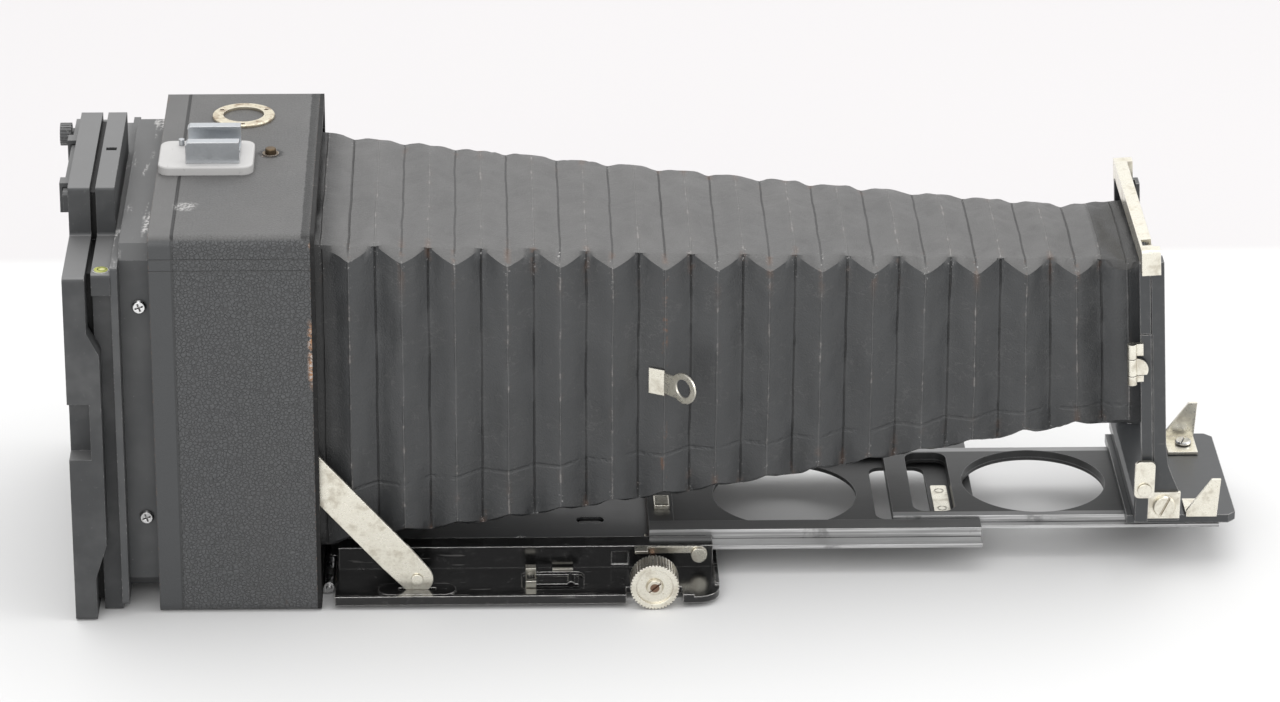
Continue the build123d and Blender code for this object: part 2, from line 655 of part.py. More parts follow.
# ================= carriage =================
carriage_xs = (front_x + carriage_out, front_x + carriage_out + carriage_length)
carriage_half = 37.7
carriage_zs = (rail_1_top + slip, 20.2)
with BuildPart() as carriage_plate:
    block(carriage_xs, (-carriage_half, carriage_half), carriage_zs)
    chamfer(carriage_plate.edges().filter_by(Axis.Z).group_by(Axis.X)[-1], 3)
    block((carriage_xs[0], carriage_xs[1]), (-plate_2_half - slip, plate_2_half + slip),
          (0, plate_2_top + slip), Mode.SUBTRACT)
keep(carriage_plate, "carriage_plate")

# pinch grips: two sprung slides with serrated fins, squeezed together to free the carriage
carriage_top = carriage_zs[1]
grip_x = carriage_xs[1] - 13
grip_travel = 2
grip_sheet = 1.2
grip_pin = 2.0
grip_foot_xs = (grip_x - 7, grip_x + 5)
grip_height = 16
grip_spans = {"near": (-40, -26), "far": (17, 33)}
for place, side in (("near", -1), ("far", 1)):
    low, high = grip_spans[place]
    fin_y = low if side < 0 else high - grip_sheet
    foot_z = carriage_top + slip
    with BuildPart() as grip:
        block(grip_foot_xs, (low, high), (foot_z, foot_z + grip_sheet))
        with BuildSketch(facing_y(0, fin_y, 0)) as fin:
            Polygon((grip_foot_xs[0], foot_z), (grip_foot_xs[1], foot_z),
                    (grip_foot_xs[1] + 1, foot_z + grip_height),
                    (grip_foot_xs[1] - 2.5, foot_z + grip_height),
                    (grip_foot_xs[0], foot_z + 2.5), align=None)
        extrude(fin.sketch, amount=-grip_sheet)
        with BuildSketch(Plane.XY.offset(carriage_top)) as grip_slot:
            with Locations((grip_x, mid((low, high)) + side * grip_travel / 2)):
                SlotCenterToCenter(grip_travel + slip, 2 * (grip_pin + slip), rotation=90)
        extrude(grip_slot.sketch, amount=3, mode=Mode.SUBTRACT)
    keep(grip, f"{place}_grip")

with BuildPart() as grip_screws:
    for low, high in grip_spans.values():
        rod_z(grip_x, mid((low, high)), grip_pin, (carriage_top, carriage_top + 2))
        screw_head(Plane.XY.offset(carriage_top + 2).move(
            Location((grip_x, mid((low, high)), 0))), 3.2, 1.2, turn=70)
keep(grip_screws, "grip_screws")

# ================= front standard =================
# built upright, then leaned back about its foot
standard_x = front_x + standard_out
base_zs = (carriage_top + slip, carriage_top + slip + 5)
lean = Pos(standard_x, 0, base_zs[1]) * Rot(0, -standard_lean, 0) * Pos(-standard_x, 0, -base_zs[1])
base_xs = (standard_x - 7.7, standard_x + 9.7)
upright_half = 43.2
upright_sheet = 2
guide_top_z = standard_height - 30
board_half = upright_half - 3.6
lip_inner = board_half - 3.1
strip_inner = board_half - 3.6
board_xs = (standard_x + 0.6, standard_x + 2.9)
rear_strip_xs = (standard_x - 4.8, standard_x - 0.3)
front_strip_xs = (standard_x - 0.3, standard_x + 4.8)
inner_face = upright_half - upright_sheet
foot_sheet = 1.5
tab_x, tab_z = standard_x - 4.8, 35.5
with BuildPart() as standard_frame:
    block(base_xs, (-upright_half, upright_half), base_zs)
    chamfer(standard_frame.edges().filter_by(Axis.Y).group_by(Axis.Z)[-1], 1.2)
    with Locations(lean):
        for side in (-1, 1):
            block(front_strip_xs, out(side, inner_face, upright_half),
                  (base_zs[0] + 1, standard_height))
            block((board_xs[1] + slip, front_strip_xs[1]), out(side, lip_inner, upright_half),
                  (base_zs[0] + 1, standard_height))
            block(rear_strip_xs, out(side, inner_face, upright_half), (base_zs[0] + 1, guide_top_z))
            block((board_xs[0] - slip - 1.5, board_xs[0] - slip), out(side, lip_inner, inner_face),
                  (base_zs[0] + 1, guide_top_z))
            block((front_strip_xs[0] - 0.3, front_strip_xs[0] + 0.3), out(side, upright_half - 0.4,
                  upright_half), (base_zs[1] + 12, guide_top_z), Mode.SUBTRACT)
    for side in (-1, 1):
        with BuildSketch(facing_y(0, side * inner_face, 0)) as flare:
            Polygon((standard_x, base_zs[0]), (base_xs[1], base_zs[0]), (base_xs[1], 32),
                    (standard_x + 7, 38), (standard_x + 4.6, 44), (standard_x + 2.6, 58),
                    (standard_x, 58), align=None)
        extrude(flare.sketch, amount=-side * upright_sheet)
    block((tab_x - 3, tab_x + 2), (-upright_half - foot_sheet, -inner_face), (base_zs[0], tab_z + 2))
keep(standard_frame, "standard_frame")

square = 12.5
square_x, square_z = base_xs[1] - square / 2, base_zs[0] + 7.2
with BuildPart() as foot_clamps:
    for side in (-1, 1):
        block((square_x - square / 2, square_x + square / 2), out(side, upright_half,
              upright_half + foot_sheet), (square_z - 5.6, square_z + 5.6))
        screw_head(facing_y(square_x, side * (upright_half + foot_sheet), square_z, side), 4.5,
                   1.8, turn=65)
    rod_y(tab_x, tab_z, 1.5, (-upright_half - foot_sheet - 2.4, -upright_half - foot_sheet))
    rod_y(tab_x, tab_z, 2.6, (-upright_half - foot_sheet - 3.2, -upright_half - foot_sheet - 2.4))
keep(foot_clamps, "foot_clamps")

# shift lock: a rounded tab turning on a pin beside the near foot
tab_inner = -upright_half - foot_sheet - slip
with BuildPart() as clamp_tab:
    block((tab_x - 3.9, tab_x + 3.9), (tab_inner - 1.8, tab_inner), (tab_z - 3.6, tab_z + 11.8))
    fillet(clamp_tab.edges().filter_by(Axis.Y), 2)
    rod_y(tab_x, tab_z, 1.5 + fit, (tab_inner - 2, tab_inner), Mode.SUBTRACT)
keep(clamp_tab, "clamp_tab")

# rise clamp: a vertical screw on the near upright, turned by a half-round lever
clamp_x, clamp_y = standard_x - 8.3, -upright_half - 2.4
clamp_zs = (guide_top_z - 19.3, guide_top_z - 2.4)
clamp_radius = 1.85
clamp_screw = 1.2
lever_zs = (clamp_zs[0] + 3.9, clamp_zs[1] - 6.2)
with BuildPart() as clamp_posts:
    rod_z(clamp_x, clamp_y, clamp_screw, clamp_zs)
    rod_z(clamp_x, clamp_y, clamp_radius, (clamp_zs[0], lever_zs[0] - slip))
    rod_z(clamp_x, clamp_y, clamp_radius, (lever_zs[1] + slip, clamp_zs[1]))
    for zs in ((clamp_zs[0] + 0.5, lever_zs[0] - slip - 0.5), (lever_zs[1] + slip + 0.5,
               clamp_zs[1] - 0.5)):
        block((clamp_x, rear_strip_xs[0] + 1), (clamp_y + 0.6, -upright_half), zs)
keep(clamp_posts, "clamp_posts", lean)

with BuildPart() as rise_lever:
    rod_z(clamp_x, clamp_y, clamp_radius, lever_zs)
    with BuildSketch(facing_y(clamp_x, clamp_y + 0.6, 0)) as fin:
        with Locations((1.6, lever_zs[1] - 4.6)):
            Circle(4.6)
        with Locations((-3, lever_zs[1] - 4.6)):
            Rectangle(9.2, 12, mode=Mode.SUBTRACT)
        with Locations((1.6, lever_zs[0] - 3)):
            Rectangle(12, 6, mode=Mode.SUBTRACT)
    extrude(fin.sketch, amount=1.2)
    rod_z(clamp_x, clamp_y, clamp_screw + fit, lever_zs, Mode.SUBTRACT)
keep(rise_lever, "rise_lever", lean)

# ================= lens board =================
# the board and the strips above the guides rise together, under the nickel top bar
panel_z = standard_height - 35
panel_zs = (panel_z - 35, standard_height - 5.6)
lens_hole = 20
frame_reach = 13.2
panel_frame_xs = (standard_x - frame_reach, board_xs[0])
with BuildPart() as lens_panel:
    block(board_xs, (-board_half, board_half), panel_zs)
    block(panel_frame_xs, (-31, 31), (panel_z - 31, panel_z + 29))
    block(panel_frame_xs, (-26, 26), (panel_z - 26, panel_z + 24), Mode.SUBTRACT)
    rod_x(0, panel_z, lens_hole, board_xs, Mode.SUBTRACT)
    for side in (-1, 1):
        block((rear_strip_xs[0], rear_strip_xs[1] - slip), out(side, inner_face, upright_half),
              (guide_top_z + slip, standard_height))
        block((rear_strip_xs[1] - slip - 2, rear_strip_xs[1] - slip),
              out(side, strip_inner, upright_half), (guide_top_z + slip, panel_zs[1]))
        block((rear_strip_xs[1] - slip - 2, board_xs[0]), out(side, strip_inner, board_half),
              (guide_top_z + slip, panel_zs[1]))
keep(lens_panel, "lens_panel", lean)

flange_sheet = 2.2
with BuildPart() as lens_flange:
    rod_x(0, panel_z, lens_hole + 5, (board_xs[1], board_xs[1] + flange_sheet))
    rod_x(0, panel_z, lens_hole, (board_xs[1], board_xs[1] + flange_sheet), Mode.SUBTRACT)
    chamfer(lens_flange.edges().filter_by(GeomType.CIRCLE).group_by(Axis.X)[-1].sort_by(
        SortBy.RADIUS)[-1], 0.8)
keep(lens_flange, "lens_flange", lean)

bar_half = upright_half + 5.3
bar_xs = (standard_x - 4.4, standard_x + 0.6)
cap_xs = (standard_x - 4.4, standard_x + 2.9)
bar_top = standard_height + 7
with BuildPart() as top_bar:
    block(bar_xs, (-bar_half, bar_half), (standard_height, bar_top))
    block((bar_xs[0] + 1, bar_xs[1] - 1), (-inner_face, inner_face),
          (standard_height, bar_top - 1.2), Mode.SUBTRACT)
    block((bar_xs[0] + 1, bar_xs[1]), (-inner_face - 1, -inner_face + 5),
          (standard_height + 1, bar_top), Mode.SUBTRACT)
    for side in (-1, 1):
        block(cap_xs, out(side, upright_half + slip, bar_half), (standard_height - 3, bar_top))
    cap_edges = top_bar.edges().filter_by(Axis.X).group_by(Axis.Z)[-1].sort_by(Axis.Y)
    fillet([cap_edges[0], cap_edges[-1]], 1)
keep(top_bar, "top_bar", lean)

# ================= bellows =================
# six runs of pleats, cut along the ridges of their sides
bellows_start = bellows_frame_xs[1]
bellows_end = panel_frame_xs[0]
first_ridge = front_x + 12
run_folds = (6, 4, 2, 2)
bellows_wall = 1
rear_profile = (2 * bellows_rear_half, floor_z + 15.7, ceiling_z - 5.7)
front_profile = (57.6, panel_z - 28, panel_z + 29)


def bellows_profile(x):
    """Width, lowest z and highest z of the bellows at x."""
    share = max((x - front_x) / (bellows_end - front_x), 0)
    return [a + (b - a) * share for a, b in zip(rear_profile, front_profile)]


def bellows_ring(x, wall):
    width, low, high = bellows_profile(x)
    place = lean if x == bellows_end else Location()
    with BuildSketch(Plane(place * Location(Plane.YZ.offset(x)))) as ring:
        with Locations((0, (low + high) / 2)):
            Rectangle(width - 2 * wall, high - low - 2 * wall)
    return ring.sketch


bellows_joints = [bellows_start, first_ridge]
for folds in run_folds:
    bellows_joints.append(bellows_joints[-1] + folds * fold_pitch)
bellows_joints.append(bellows_end)
for number, (low_x, high_x) in enumerate(zip(bellows_joints, bellows_joints[1:]), 1):
    low_x = low_x + slip / 2 if low_x > bellows_start else low_x
    high_x = high_x - slip / 2 if high_x < bellows_end else high_x
    stations = [low_x, front_x, high_x] if low_x < front_x < high_x else [low_x, high_x]
    with BuildPart() as bellows:
        for wall, mode in ((0, Mode.ADD), (bellows_wall, Mode.SUBTRACT)):
            for a, b in zip(stations, stations[1:]):
                loft([bellows_ring(a, wall), bellows_ring(b, wall)], ruled=True, mode=mode)
    keep(bellows, f"bellows_{number}")

# strap eyelet: a foot on a pleat's rear flank, bent out to a ring
eyelet_x = first_ridge + run_folds[0] * fold_pitch
eyelet_foot = 6.5
eyelet_turns = (-27, 45)
eyelet_z = 84.5
eyelet_sheet = 0.8
eyelet_y = -bellows_profile(eyelet_x)[0] / 2 - 4.2
eyelet_arm = 10
ring_outer, ring_inner = 6.2, 3.7
with BuildPart() as eyelet:
    foot = Pos(eyelet_x, eyelet_y, eyelet_z) * Rot(0, 0, eyelet_turns[0])
    arm = Pos(eyelet_x, eyelet_y, eyelet_z) * Rot(0, 0, -eyelet_turns[1])
    with Locations(foot * Pos(-eyelet_foot / 2, 0, 0)):
        Box(eyelet_foot, eyelet_sheet, 10.5)
    with Locations(arm * Pos(eyelet_arm / 2, 0, 0)):
        Box(eyelet_arm, eyelet_sheet, 8.5)
    with Locations(arm * Pos(eyelet_arm, 0, 0.8)):
        Cylinder(ring_outer, eyelet_sheet, rotation=(90, 0, 0))
        Cylinder(ring_inner, 2 * eyelet_sheet, rotation=(90, 0, 0), mode=Mode.SUBTRACT)
keep(eyelet, "eyelet")
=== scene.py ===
import json
import math
import bpy
from mathutils import Matrix, Vector, noise


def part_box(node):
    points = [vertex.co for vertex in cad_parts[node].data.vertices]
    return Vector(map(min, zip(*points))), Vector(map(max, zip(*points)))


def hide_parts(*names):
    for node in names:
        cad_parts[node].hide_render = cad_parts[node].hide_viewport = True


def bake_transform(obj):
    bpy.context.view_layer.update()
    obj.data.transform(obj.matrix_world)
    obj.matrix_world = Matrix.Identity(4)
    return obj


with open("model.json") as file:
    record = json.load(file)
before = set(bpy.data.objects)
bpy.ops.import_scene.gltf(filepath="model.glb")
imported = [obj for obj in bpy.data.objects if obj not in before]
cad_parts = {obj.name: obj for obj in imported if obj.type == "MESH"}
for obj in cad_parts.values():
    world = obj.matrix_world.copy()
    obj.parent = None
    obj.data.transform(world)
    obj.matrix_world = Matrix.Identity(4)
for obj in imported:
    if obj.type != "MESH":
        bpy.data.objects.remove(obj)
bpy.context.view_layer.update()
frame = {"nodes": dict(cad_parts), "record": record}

record = frame["record"]
print("frame loaded:", len(frame["nodes"]), "pieces")


# a socket that can be added, multiplied and compared like a number
class Wire:
    def __init__(self, paint, socket):
        self.paint, self.socket = paint, socket

    def maths(self, operation, *values):
        return self.paint.node("ShaderNodeMath", {"operation": operation}, dict(enumerate(values)))

    def __add__(self, other):
        return self.maths("ADD", self, other)

    def __radd__(self, other):
        return self.maths("ADD", other, self)

    def __sub__(self, other):
        return self.maths("SUBTRACT", self, other)

    def __rsub__(self, other):
        return self.maths("SUBTRACT", other, self)

    def __mul__(self, other):
        return self.maths("MULTIPLY", self, other)

    def __abs__(self):
        return self.maths("ABSOLUTE", self)

    def over(self, other):
        return self.maths("MAXIMUM", self, other)

    def under(self, other):
        return self.maths("MINIMUM", self, other)

    # 0 below the first value, 1 above the second, smooth between
    def step(self, low, high):
        inputs = {"Value": self, "From Min": low, "From Max": high}
        return self.paint.node("ShaderNodeMapRange", {"interpolation_type": "SMOOTHSTEP"}, inputs)


# a material, with the nodes that its recipes share
class Paint:
    def __init__(self, name):
        self.material = bpy.data.materials.new(name)
        self.material.use_nodes = True
        self.tree = self.material.node_tree
        self.tree.nodes.clear()
        self.place = self.node("ShaderNodeTexCoord", out="Object")

    def node(self, kind, settings=None, inputs=None, out=0):
        made = self.tree.nodes.new(kind)
        for key, value in (settings or {}).items():
            setattr(made, key, value)
        for key, value in (inputs or {}).items():
            if isinstance(value, Wire):
                self.tree.links.new(value.socket, made.inputs[key])
            else:
                made.inputs[key].default_value = value
        return Wire(self, made.outputs[out]) if len(made.outputs) else made

    # the pattern's own place, stretched along the axes
    def stretched(self, x, y, z):
        return self.node("ShaderNodeMapping", {}, {"Vector": self.place, "Scale": (x, y, z)})

    # grain size in metres
    def noise(self, size, detail=3.0, rough=0.55, place=None):
        inputs = {"Vector": place or self.place, "Scale": 1 / size, "Detail": detail, "Roughness": rough}
        return self.node("ShaderNodeTexNoise", {}, inputs)

    def cells(self, size, feature, place=None):
        inputs = {"Vector": place or self.place, "Scale": 1 / size, "Randomness": 1.0}
        return self.node("ShaderNodeTexVoronoi", {"feature": feature}, inputs, out="Distance")

    def axis(self, name, place=None):
        return self.node("ShaderNodeSeparateXYZ", {}, {0: place or self.place}, out=name)

    def mix(self, mask, first, second):
        inputs = {0: mask, 6: first, 7: second}
        return self.node("ShaderNodeMix", {"data_type": "RGBA"}, inputs, out=2)

    # the normal with its edges rounded over
    def softened(self, radius):
        return self.node("ShaderNodeBevel", {"samples": 4}, {"Radius": radius})

    # how sharply the shape turns within a radius: 0 on a flat, near 1 on a crisp edge
    def edge(self, radius):
        true = self.node("ShaderNodeNewGeometry", out="True Normal")
        inputs = {0: self.softened(radius), 1: true}
        return 1 - self.node("ShaderNodeVectorMath", {"operation": "DOT_PRODUCT"}, inputs, out="Value")

    # how far the face looks up: -1 to 1
    def upward(self):
        return self.axis("Z", self.node("ShaderNodeNewGeometry", out="Normal"))

    def distance(self, point, place=None):
        inputs = {0: place or self.place, 1: point}
        return self.node("ShaderNodeVectorMath", {"operation": "DISTANCE"}, inputs, out="Value")

    def bump(self, height, distance, strength=1.0, normal=None):
        inputs = {"Height": height, "Distance": distance, "Strength": strength}
        if normal:
            inputs["Normal"] = normal
        return self.node("ShaderNodeBump", {}, inputs)

    def finish(self, colour, rough, normal=None, metallic=0.0, **fixed):
        inputs = {"Base Color": colour, "Roughness": rough, "Metallic": metallic}
        inputs.update({key.replace("_", " "): value for key, value in fixed.items()})
        if normal:
            inputs["Normal"] = normal
        shader = self.node("ShaderNodeBsdfPrincipled", {}, inputs)
        self.node("ShaderNodeOutputMaterial", {}, {"Surface": shader})
        return self.material


def grey(value, warmth=0.0):
    return (value * (1 + warmth), value, value * (1 - warmth), 1.0)


leatherLook = {"tint": grey(0.062, -0.03), "worn": (0.30, 0.15, 0.07, 1), "dust": grey(0.088, 0.02),
               "scuff": grey(0.42, 0.02), "band": grey(0.046, -0.04), "grain": 0.00085, "relief": 0.00042,
               "flap": 0.009, "seams": (0.0092, 0.0138), "chips": (0.092, 0.124),
               "border": 0.0030, "torn": (0.0042, 0.0056), "rubbed": (0.013, 0.030)}


# pebbled black leather: dust and painted top light on its top, a smooth band at the back, seams and rubbed
# edges
def caseLeather():
    look = leatherLook
    paint = Paint("pebbledLeather")
    low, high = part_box("case_leather")
    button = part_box("release_button")
    button = (button[0] + button[1]) / 2
    x, z = paint.axis("X"), paint.axis("Z")
    up = paint.upward().step(0.45, 0.8)
    side = 1 - up
    wobble = paint.noise(0.004, 2)
    warped = paint.node("ShaderNodeVectorMath", {"operation": "MULTIPLY_ADD"},
                        {0: wobble, 1: (0.0009,) * 3, 2: paint.place})
    pebble = paint.cells(look["grain"], "SMOOTH_F1", place=warped)
    creases = paint.cells(look["grain"] * 1.7, "DISTANCE_TO_EDGE", place=warped).step(0.0, 0.16)
    fine = paint.noise(0.0003, 2)
    patches = paint.noise(0.018, 4, 0.6)
    streaks = paint.noise(0.04, 5, 0.7, paint.stretched(1, 1, 0.35))
    flecks = paint.noise(0.0012, 3, 0.7)
    ragged = paint.noise(0.0025, 2) * 0.0012
    fromFlap = x - (low.x + look["flap"])
    smooth = 1 - fromFlap.step(-0.0004, 0.0006)
    drop = high.z - z
    upper, lower = (1 - abs(drop - depth).step(0.0001, 0.0005) for depth in look["seams"])
    seams = upper.over(lower) * side
    flap = (1 - abs(fromFlap).step(0.0002, 0.0008)) * (0.4 + up * 0.6)
    border = (x + ragged - (high.x - look["border"])).step(0.0, 0.0005) * up
    torn = paint.distance((button.x, button.y, high.z))
    torn = (1 - (torn + (flecks - 0.5) * 0.004).step(*look["torn"])) * up
    rim = paint.edge(0.0028).step(0.05, 0.22) * drop.step(-0.001, 0.0006).under(1 - drop.step(0.004, 0.006))
    chipsFoot, chipsHead = look["chips"]
    frontEdge = z.step(chipsFoot, chipsFoot + 0.009) * (1 - z.step(chipsHead - 0.007, chipsHead))
    frontEdge = x.step(high.x - 0.0022, high.x - 0.0004) * frontEdge
    foot = (1 - z.step(0.006, 0.020)) * x.step(0.012, 0.028)
    lip = paint.edge(0.0012).step(0.16, 0.34)
    chipped = paint.noise(0.0035, 4, 0.7).step(0.44, 0.54)
    brown = (frontEdge * chipped + foot * chipped * patches.step(0.52, 0.62) * 0.4).over(
        lip * flecks.step(0.52, 0.62) * 0.5)
    brown = brown.over(rim * patches.step(0.60, 0.66) * flecks.step(0.5, 0.6))
    pale = (rim * flecks.step(0.60, 0.68) * 0.5).over(torn * flecks.step(0.60, 0.66) * 0.7)
    pale = pale.over(frontEdge * chipped * flecks.step(0.48, 0.56) * 0.8)
    ahead, inward = look["rubbed"]
    spot = paint.distance((low.x + ahead, low.y + inward, high.z))
    scuff = (1 - (spot + (patches - 0.5) * 0.012).step(0.002, 0.0055)) * flecks.step(0.40, 0.62)
    # painted top light: upward faces are mixed towards the paler dust tint, partly dust and partly the
    # light that falls on the top
    dustAndTopLight = up * (0.80 + (streaks - 0.5) * 0.9)
    pebbled = paint.mix(0.45 + creases * 0.55, grey(0.016), look["tint"])
    colour = paint.mix(smooth * side, pebbled, look["band"])
    colour = paint.mix(streaks.step(0.46, 0.78) * 0.35, colour, grey(0.05, 0.02))
    colour = paint.mix(dustAndTopLight, colour, look["dust"])
    colour = paint.mix(flap.over(border * 0.9).over(torn * 0.85), colour, grey(0.006))
    colour = paint.mix(seams * 0.5, colour, grey(0.045))
    colour = paint.mix(rim * 0.35, colour, grey(0.09, 0.02))
    colour = paint.mix(brown * 0.9, colour, look["worn"])
    colour = paint.mix(pale.over(scuff * 0.75), colour, look["scuff"])
    rough = 0.40 + (patches - 0.5) * 0.20 + brown * 0.3 + up * 0.12 - smooth * 0.04
    height = (1 - pebble) * creases * 0.8 * (1 - smooth * 0.85) * (1 - up * 0.55) + fine * 0.15
    height = height * (1 - brown * 0.6) - flap * 1.2 - seams * 0.9
    normal = paint.bump(height, look["relief"], 0.9, paint.softened(0.0008))
    return paint.finish(colour, rough, normal, Specular_IOR_Level=0.45)


# black lacquer over metal: glossy, with the bare metal showing along the edges
def lacquer(name, tint, bare, rough, wear=0.18, radius=0.0009, chips=0.0022, coat=0.25, shine=0.5):
    paint = Paint(name)
    patches = paint.noise(0.02, 4, 0.6)
    chipped = paint.noise(chips, 4, 0.65)
    rub = (paint.edge(radius) + (chipped - 0.5) * 0.35 + (patches - 0.5) * 0.25).step(wear, wear + 0.12)
    scratch = paint.noise(0.0016, 2, 0.5, paint.stretched(0.08, 1, 1)).step(0.68, 0.74)
    dust = paint.noise(0.0035, 5, 0.7).step(0.50, 0.80)
    colour = paint.mix(dust * 0.22, tint, grey(0.11, 0.02))
    colour = paint.mix(scratch * 0.35, colour, grey(0.18, 0.03))
    colour = paint.mix(rub, colour, bare)
    roughness = rough + (patches - 0.5) * 0.18 + scratch * 0.12 + dust * 0.08
    height = paint.noise(0.0009, 3) * 0.5 - rub * 0.8
    soft = paint.softened(0.0004)
    return paint.finish(colour, roughness, paint.bump(height, 0.00006, 0.5, soft), rub * 0.8,
                        Coat_Weight=coat, Coat_Roughness=0.12, Specular_IOR_Level=shine)


# anodised plate: dry and dark, an even grain, painted top light that makes its upward faces paler, paler
# along the edges from wear and a painted edge highlight, and where it is scuffed
def anodised(name, tint, toneAndTopLight, scuffed=0.0):
    paint = Paint(name)
    up = paint.upward().step(0.5, 0.85)
    grain = paint.noise(0.00035, 2)
    cloud = paint.noise(0.03, 4, 0.6)
    marks = paint.noise(0.0014, 3, 0.6, paint.stretched(1, 0.2, 1)).step(0.66, 0.72)
    chips = paint.noise(0.0016, 3, 0.7)
    rub = (paint.edge(0.0006) + (cloud - 0.5) * 0.25).step(0.14, 0.30)
    bare = (rub * chips.step(0.54, 0.64)).over(paint.noise(0.0011, 2).step(0.775, 0.79) * 0.6)
    streak = paint.noise(0.0060, 3, 0.6, paint.stretched(1, 0.16, 1)).step(0.56, 0.66)
    scuff = up * streak * chips.step(0.40, 0.60) * scuffed
    # painted top light: upward faces are mixed towards the paler tone, on top of the tone's random clouding
    colour = paint.mix((cloud.step(0.35, 0.75) * 0.4).over(up * 0.8), tint, toneAndTopLight)
    # worn edges and a painted edge highlight: the edges are made paler grey
    colour = paint.mix((rub * 0.55).over(marks * 0.2), colour, grey(0.17, 0.0))
    colour = paint.mix((bare * 0.8).over(scuff), colour, grey(0.55, 0.02))
    rough = 0.50 + (cloud - 0.5) * 0.2 + grain * 0.08 + scuff * 0.15
    soft = paint.softened(0.0005)
    return paint.finish(colour, rough, paint.bump(grain, 0.00003, 0.5, soft), 0.25, Specular_IOR_Level=0.38)


# plated or bare metal with a brushed lay along one axis, tarnish, painted shade in its crevices and small
# dents
def metal(name, tint, stain, rough, lay=(0.04, 1, 1), blotch=0.006, stains=0.5, core=None):
    paint = Paint(name)
    brushed = paint.noise(0.0006, 3, 0.6, paint.stretched(*lay))
    cloud = paint.noise(blotch, 5, 0.65)
    spots = paint.noise(0.0009, 3, 0.6).step(0.62, 0.70)
    corner = paint.edge(0.0008).step(0.08, 0.30)
    tarnishAndCreviceShade = (cloud.step(0.46, 0.68) * stains).over(spots * stains * 0.8) * (1 - corner * 0.7)
    # painted shade: recesses found by ambient occlusion are mixed towards the stain colour along with the
    # tarnish
    shade = paint.node("ShaderNodeAmbientOcclusion", {"samples": 4}, {"Distance": 0.0014}, out="AO")
    tarnishAndCreviceShade = tarnishAndCreviceShade.over((1 - shade.step(0.35, 0.80)) * 0.85)
    colour = paint.mix(tarnishAndCreviceShade, tint, stain)
    colour = paint.mix(corner * 0.4, colour, grey(0.86, 0.03))
    if core:
        place, radius, other = core
        flat = paint.node("ShaderNodeMapping", {}, {"Vector": paint.place, "Scale": (1, 0, 1)})
        away = paint.distance((place.x, 0, place.z), flat)
        colour = paint.mix((1 - away.step(radius - 0.0002, radius)) * 0.9, colour, other)
    roughness = rough + (cloud - 0.5) * 0.22 + brushed * 0.10 + tarnishAndCreviceShade * 0.18
    soft = paint.softened(0.00035)
    height = brushed * 0.6 + cloud * 0.4
    return paint.finish(colour, roughness, paint.bump(height, 0.00003, 0.4, soft), 1.0)


# painted track: bare brushed sides, a satin band rubbed along its top edges, dark between
def track(name, band, satin):
    paint = Paint(name + "Finish")
    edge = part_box(name)[1].y
    away = abs(paint.axis("Y"))
    up = paint.upward().step(0.6, 0.9)
    brushed = paint.noise(0.0011, 4, 0.6, paint.stretched(0.015, 1, 1))
    patches = paint.noise(0.016, 4, 0.65)
    chips = paint.noise(0.0020, 4, 0.65)
    bare = away.step(edge - 0.0006, edge - 0.0003) * (1 - up)
    rubbed = away.step(edge - band, edge - band + 0.0006) * up
    worn = (paint.edge(0.0008) + (chips - 0.5) * 0.3).step(0.14, 0.26)
    dust = paint.noise(0.0035, 5, 0.7).step(0.50, 0.80)
    aluminium = paint.mix(brushed.step(0.38, 0.62), grey(0.34), grey(0.66))
    aluminium = paint.mix(patches.step(0.56, 0.66) * 0.5, aluminium, grey(0.10))
    colour = paint.mix(patches.step(0.4, 0.7) * 0.5 + dust * 0.2, grey(0.026, -0.02), grey(0.055))
    colour = paint.mix(rubbed, colour, paint.mix(brushed, grey(satin * 0.7), grey(satin * 1.25)))
    colour = paint.mix(worn * 0.7, colour, grey(0.30))
    colour = paint.mix(bare, colour, aluminium)
    shine = (bare * 0.95).over(rubbed * min(1, satin * 2)).over(worn * 0.6)
    rough = 0.38 + (patches - 0.5) * 0.2 + brushed * 0.08 - bare * 0.06
    normal = paint.bump(brushed, 0.00003, 0.5, paint.softened(0.0004))
    return paint.finish(colour, rough, normal, shine, Specular_IOR_Level=0.45)


# smooth pale sheet with faint scuffs
def paleSheet():
    paint = Paint("paleSheet")
    cloud = paint.noise(0.012, 4, 0.6)
    scuff = paint.noise(0.0016, 3, 0.6, paint.stretched(1, 0.15, 1)).step(0.62, 0.72)
    colour = paint.mix(scuff * 0.5 + cloud * 0.25, grey(0.43, 0.015), grey(0.27, 0.03))
    soft = paint.softened(0.0004)
    return paint.finish(colour, 0.34 + cloud * 0.15, paint.bump(cloud, 0.00004, 0.4, soft))


# the level's yellow-green spirit, with its bubble
def levelSpirit():
    paint = Paint("levelSpirit")
    low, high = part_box("level_vial")
    middle = (low + high) / 2
    away = paint.distance((middle.x + 0.0004, middle.y + 0.0003, high.z))
    bubble = 1 - away.step(0.0007, 0.0010)
    ring = away.step(0.0014, 0.0016) * (1 - away.step(0.0017, 0.0019))
    swirl = paint.noise(0.002, 2)
    colour = paint.mix(swirl * 0.4, (0.42, 0.44, 0.13, 1), (0.32, 0.35, 0.09, 1))
    colour = paint.mix(bubble * 0.8, colour, (0.62, 0.62, 0.34, 1))
    colour = paint.mix(ring, colour, grey(0.02))
    return paint.finish(colour, 0.08 + bubble * 0.05, paint.bump(bubble, 0.0002, 0.4), Coat_Weight=0.6)


